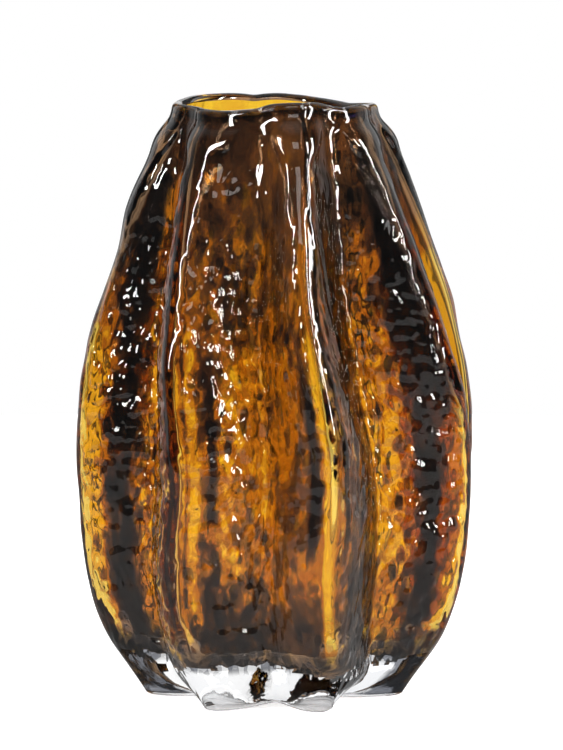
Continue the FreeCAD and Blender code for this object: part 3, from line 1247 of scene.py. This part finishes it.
@dataclass
class Vase:
    """The vase: its form, its relief and its two gathers."""

    form: RibbedForm = field(default_factory=RibbedForm)
    relief: Relief = field(default_factory=Relief)
    outer_rows: int = 230
    corner_rows: int = 12
    inner_rows: int = 110
    lip_rise: float = 2.5
    lip_steps: int = 8
    lip_reach: float = 18.0
    lip_blur: int = 8
    foot_round: float = 1.2
    weld_overlap: float = 0.1
    weld_top: float = 200.0
    sag_span: Span = (22.0, 52.0)
    sag_rise: float = 2.0
    sag_reach: float = 40.0
    heel_top: float = 17.0
    heel_sway: float = 2.6
    thin_fused: float = 1.5
    thin_inside: float = 2.8

    def __post_init__(self) -> None:
        """Prepares what both gathers share."""
        self.wall = Wall(self.form)

    def inner_heights(self, face: Face) -> Array:
        """Heights of the rows of an inner face, close together in its corner.

        Args:
            face: Which face.

        Returns:
            Rising heights.
        """
        floor = self.form.floor(face)
        corner = floor + self.form.floor_corner
        low = np.linspace(floor, corner, self.corner_rows)
        return np.concatenate([low, np.linspace(corner, self.form.brim_height, self.inner_rows)[1:]])

    def inner(self, face: Face, heights: Array) -> Array:
        """Rings of an inner face, which lies nearer to the outside in the thin ridges.

        Args:
            face: Which face.
            heights: Height of each ring.

        Returns:
            Rings of points.
        """
        rings = self.form.surface(face, heights)
        rise = self.thin_inside if face is Face.INSIDE else self.thin_fused
        push = streaks(THIN_STREAKS, self.form.places(), heights) * rise
        rings[:, :, :2] += self.relief.outwards(rings) * push[:, :, None]
        return rings

    def brim(self, face: Face) -> Array:
        """The ring of a face at the wavy brim."""
        return self.lip_wave(self.form.surface(face, np.array([self.form.brim_height])))[0]

    def lip_wave(self, rings: Array) -> Array:
        """Rings with the wavy lip's rise, which fades out downwards.

        Args:
            rings: Rings of points.

        Returns:
            The raised rings.
        """
        stops, rises = zip(*LIP_WAVE)
        rise = np.interp(turns_of(rings) * FULL_TURN, stops, rises)
        shifts = range(-self.lip_blur, self.lip_blur + 1)
        smooth = sum(np.roll(rise, shift, axis=1) for shift in shifts) / len(shifts)
        brim = self.form.brim_height
        raised = rings.copy()
        raised[:, :, 2] += smooth * eased(brim - self.lip_reach, brim, rings[:, :, 2])
        return raised

    def sagged(self, rings: Array) -> Array:
        """Inner rings with the uneven lower end of the amber gather.

        Args:
            rings: Rings of points.

        Returns:
            The moved rings.
        """
        turns = turns_of(rings)
        sway = self.relief.noise(turns, np.zeros_like(turns), Layer.SAG)
        share = 1.0 - eased(*self.sag_span, rings[:, :, 2])
        reach = np.linalg.norm(rings[:, :, :2], axis=2)
        lowered = rings.copy()
        lowered[:, :, 2] += self.sag_rise * sway * share * eased(0.0, self.sag_reach, reach)
        return lowered

    def dressed(self, rings: Array, heights: Array, facts: dict[str, Array]) -> Array:
        """The outer rings with all their relief.

        Args:
            rings: Rings of points.
            heights: Height of each ring.
            facts: Hammering and brushing of each point.

        Returns:
            The moved rings.
        """
        relief, levels, turns = self.relief, rings[:, :, 2], turns_of(rings)
        arcs = relief.arcs(rings)
        push = relief.hammering(arcs, levels, heights) * facts["hammered"]
        push += relief.noise(arcs, levels, Layer.GRAIN) * relief.grain_rise * facts["brushed"]
        push += relief.wobble(turns, levels) + relief.collar(heights)[:, None]
        push -= relief.arches(self.form.to_crest(), heights)
        push += streaks(BULGE_STREAKS, self.form.places(), heights)
        outwards = relief.outwards(rings)
        sideways = np.stack([-outwards[:, :, 1], outwards[:, :, 0]], axis=2)
        wandering = window(relief.meander_low, relief.meander_high, heights)[:, None]
        meander = relief.meander(turns, levels) * wandering
        moved = rings.copy()
        moved[:, :, :2] += outwards * push[:, :, None] + sideways * meander[:, :, None]
        return moved

    def lip(self, outer: Array, inner: Array, start: float, end: float) -> Array:
        """Rings over the rounded lip between an outer and an inner ring.

        Args:
            outer: The outer ring at the brim.
            inner: The inner ring at the brim.
            start: Turn of the first ring: 0 is outside and 1 inside.
            end: Turn of the last ring.

        Returns:
            The rings.
        """
        middle, half = (outer + inner) / 2.0, (outer - inner) / 2.0
        rings = []
        for turn in np.linspace(start * math.pi, end * math.pi, self.lip_steps):
            ring = middle + half * math.cos(turn)
            ring[:, 2] = middle[:, 2] + self.lip_rise * math.sin(turn)
            rings.append(ring)
        return np.array(rings)

    def casing(self) -> Piece:
        """The clear outer gather.

        Returns:
            The piece.
        """
        form = self.form
        heights = np.linspace(self.foot_round, form.brim_height, self.outer_rows)
        facts = self.wall.facts(heights)
        smooth = form.surface(Face.OUTER, heights)
        outer = self.lip_wave(self.dressed(smooth, heights, facts))
        fused = self.lip_wave(self.sagged(self.inner(Face.FUSED, self.inner_heights(Face.FUSED))))
        lathe = Lathe("clear_casing_glass", form.columns)
        bare = {name: np.zeros(fused.shape[:2]) for name in facts}
        for inset, height, skin in FOOT_RINGS:
            ring = smooth[0] * (1.0 - inset)
            ring[:, 2] = height
            lathe.add(ring[None], skin, **bare)
        turns = np.arange(form.columns) / form.columns
        sway = self.relief.noise(turns, np.zeros(form.columns), Layer.HEEL)
        lathe.add(outer, Skin.SHOWN, self.heel_top + self.heel_sway * sway, **facts)
        lip = self.lip(outer[-1], self.brim(Face.INSIDE), start=0.0, end=0.5)[1:]
        at_brim = {name: np.repeat(values[-1:], len(lip), axis=0) for name, values in facts.items()}
        lathe.add(lip, Skin.SHOWN, **at_brim)
        lathe.add(fused[::-1], Skin.BURIED, **bare)
        piece = lathe.build(
            {
                Skin.SHOWN: ClearGlass().material(),
                Skin.BURIED: FusedClear().material(),
                Skin.GROUND: GroundFoot().material(),
                Skin.HEEL: ClearGlass("clear_glass_heel", ior=1.12).material(),
            }
        )
        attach(piece, "root")
        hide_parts("clear_casing")
        return piece

    def lining(self) -> Piece:
        """The amber inner gather.

        Returns:
            The piece.
        """
        brim = self.form.brim_height
        heights, inside_heights = self.inner_heights(Face.FUSED), self.inner_heights(Face.INSIDE)
        fused = self.inner(Face.FUSED, heights)
        overlap = self.weld_overlap * (1.0 - eased(self.weld_top, brim, heights))
        fused[:, :, :2] += self.relief.outwards(fused) * overlap[:, None, None]
        inside = self.lip_wave(self.sagged(self.inner(Face.INSIDE, inside_heights)))
        lathe = Lathe("amber_lining_glass", self.form.columns)
        lathe.add(self.lip_wave(self.sagged(fused)), Skin.BURIED, **self.wall.facts(heights))
        lip = self.lip(self.brim(Face.OUTER), inside[-1], start=0.5, end=1.0)[:-1]
        lathe.add(lip, Skin.SHOWN, **self.wall.facts(np.full(len(lip), brim)))
        lathe.add(inside[::-1], Skin.SHOWN, **self.wall.facts(inside_heights[::-1]))
        piece = lathe.build(
            {
                Skin.SHOWN: AmberGlass("amber_glass", ior=1.5, roughness=0.02, faces_out=False).material(),
                Skin.BURIED: AmberGlass(
                    "amber_glass_fused", ior=1.0, roughness=0.0, faces_out=True
                ).material(),
            }
        )
        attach(piece, "root")
        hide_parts("amber_lining")
        return piece


@dataclass(frozen=True)
class Lamp:
    """A soft lamp.

    Args:
        name: Its name.
        place: Where it stands, in metres.
        width: Width of its face.
        height: Height of its face.
        power: Power in watts.
    """

    name: str
    place: Spot
    width: float
    height: float
    power: float


def put_in_scene(name: str, data: bpy.types.ID) -> Piece:
    """A new object in the scene.

    Args:
        name: Its name.
        data: Its mesh, lamp or camera.

    Returns:
        The object.
    """
    thing = bpy.data.objects.new(name, data)
    bpy.context.scene.collection.objects.link(thing)
    return thing


@dataclass(frozen=True)
class Studio:
    """Floor, room, lamps and camera."""

    lamps: tuple[Lamp, ...] = (
        Lamp("left_softbox", (-0.75, -0.95, 0.84), 0.18, 0.7, 16.0),
        Lamp("right_softbox", (1.15, -0.55, 0.60), 0.18, 1.0, 19.0),
        Lamp("inner_softbox", (0.95, -0.95, 0.85), 0.12, 0.5, 7.0),
        Lamp("upper_softbox", (0.25, -1.35, 1.15), 0.4, 0.4, 1.6),
    )
    aim: Spot = (0.00285, 0.0, 0.121)
    camera_place: Spot = (0.0, -1.799, 0.382)
    lens: float = 229.6
    white: Colour = rgb(255, 255, 255)
    floor_radius: float = 0.7
    floor_corners: int = 96
    floor_height: float = -0.0003
    floor_tint: Colour = rgb(245, 245, 245)
    floor_mirrored_tint: Colour = rgb(170, 170, 170)
    floor_roughness: float = 0.9
    floor_seen: float = 0.7
    floor_mirrored: float = 0.12
    floor_through_glass: float = 0.92
    room_darkness: float = 0.92
    front_edge: Span = (0.6, -0.05)
    ceiling_edge: Span = (0.97, 0.8)
    ceiling_share: float = 0.4
    deep_mirror_share: float = 0.5
    panels: float = 8.0
    panel_darkness: float = 0.9
    panel_edge: Span = (-0.1, -0.45)
    panel_top: Span = (0.7, 0.5)
    panel_sides: Span = (1.25, 0.95)
    scattered_share: float = 0.6
    bounces: int = 20

    def floor(self) -> Piece:
        """The pale floor.

        Returns:
            The floor.
        """
        mesh = bpy.data.meshes.new("studio_floor")
        turns = [math.tau * step / self.floor_corners for step in range(self.floor_corners)]
        reach = self.floor_radius
        edge = [(reach * math.cos(turn), reach * math.sin(turn), self.floor_height) for turn in turns]
        mesh.from_pydata(edge, [], [tuple(range(self.floor_corners))])
        floor = put_in_scene("studio_floor", mesh)
        material, graph, shader = new_material("studio_floor")
        ray = graph.add("ShaderNodeLightPath").outputs
        seen = graph.times(ray["Is Camera Ray"], self.floor_seen)
        seen = graph.calc("MULTIPLY_ADD", ray["Is Glossy Ray"], self.floor_mirrored, seen)
        through = graph.times(ray["Is Transmission Ray"], self.floor_through_glass)
        values = {
            "Base Color": graph.blend(ray["Is Glossy Ray"], self.floor_tint, self.floor_mirrored_tint),
            "Roughness": self.floor_roughness,
            "Specular IOR Level": 0.0,
            "Emission Color": self.white,
            "Emission Strength": graph.calc("MAXIMUM", seen, through),
        }
        graph.feed(shader, values)
        mesh.materials.append(material)
        return floor

    def room(self) -> None:
        """The light of the room, with dark panels that only reflections show."""
        world = bpy.data.worlds.new("studio_room")
        bpy.context.scene.world = world
        world.use_nodes = True
        graph = Graph(world.node_tree)
        ray = graph.add("ShaderNodeLightPath").outputs
        way = graph.add("ShaderNodeSeparateXYZ")
        graph.feed(way, {0: graph.add("ShaderNodeTexCoord").outputs["Generated"]})
        x, y, z = way.outputs
        mirrored = graph.calc("GREATER_THAN", ray["Glossy Depth"], 0.5)
        mirrored = graph.calc("MAXIMUM", mirrored, ray["Is Glossy Ray"])
        outside = graph.calc("LESS_THAN", ray["Transmission Depth"], 0.5)
        share = graph.calc("MULTIPLY_ADD", outside, 1.0 - self.deep_mirror_share, self.deep_mirror_share)
        dark_room = graph.times(graph.times(mirrored, share), graph.step(y, *self.front_edge))
        dark_room = graph.times(dark_room, graph.step(z, *self.ceiling_edge, self.ceiling_share))
        dark_room = graph.times(dark_room, self.room_darkness)
        turn = graph.calc("ARCTAN2", x, y)
        wave = graph.calc("COSINE", graph.times(turn, self.panels))
        panel = graph.times(graph.step(wave, *self.panel_edge), graph.step(z, *self.panel_top))
        panel = graph.times(panel, graph.step(graph.calc("ABSOLUTE", turn), *self.panel_sides))
        panel = graph.times(panel, graph.less(1.0, ray["Is Camera Ray"]))
        panel = graph.times(panel, self.panel_darkness)
        level = graph.less(1.0, graph.calc("MAXIMUM", dark_room, panel))
        scattered = graph.times(ray["Is Diffuse Ray"], self.scattered_share)
        level = graph.calc("SUBTRACT", level, scattered, clamp=True)
        graph.feed(world.node_tree.nodes["Background"], {"Color": self.white, "Strength": level})

    def turned(self, thing: Piece, place: Spot) -> None:
        """Puts a thing in its place and turns it to the vase."""
        thing.location = place
        thing.rotation_euler = (Vector(self.aim) - Vector(place)).to_track_quat("-Z", "Y").to_euler()

    def light(self, lamp: Lamp) -> None:
        """Sets up one lamp.

        Args:
            lamp: The lamp.
        """
        data = bpy.data.lights.new(lamp.name, "AREA")
        data.shape = "RECTANGLE"
        data.size, data.size_y, data.energy = lamp.width, lamp.height, lamp.power
        self.turned(put_in_scene(lamp.name, data), lamp.place)

    def camera(self) -> None:
        """The camera, where the photographer stood."""
        data = bpy.data.cameras.new("camera")
        data.lens = self.lens
        camera = put_in_scene("camera", data)
        self.turned(camera, self.camera_place)
        bpy.context.scene.camera = camera

    def build(self) -> None:
        """Everything round the vase."""
        self.floor()
        self.room()
        for lamp in self.lamps:
            self.light(lamp)
        self.camera()
        scene = bpy.context.scene
        scene.view_settings.view_transform = "Standard"
        scene.cycles.max_bounces = self.bounces
        scene.cycles.transmission_bounces = self.bounces
        scene.cycles.glossy_bounces = self.bounces


def main() -> None:
    """Builds the vase and its studio."""
    logging.basicConfig(level=logging.INFO, format="%(message)s")
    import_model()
    vase = Vase()
    for piece in (vase.casing(), vase.lining()):
        LOG.info("built %s: %d faces", piece.name, len(piece.data.polygons))
    Studio().build()
    bpy.context.view_layer.update()


if __name__ == "__main__":
    main()
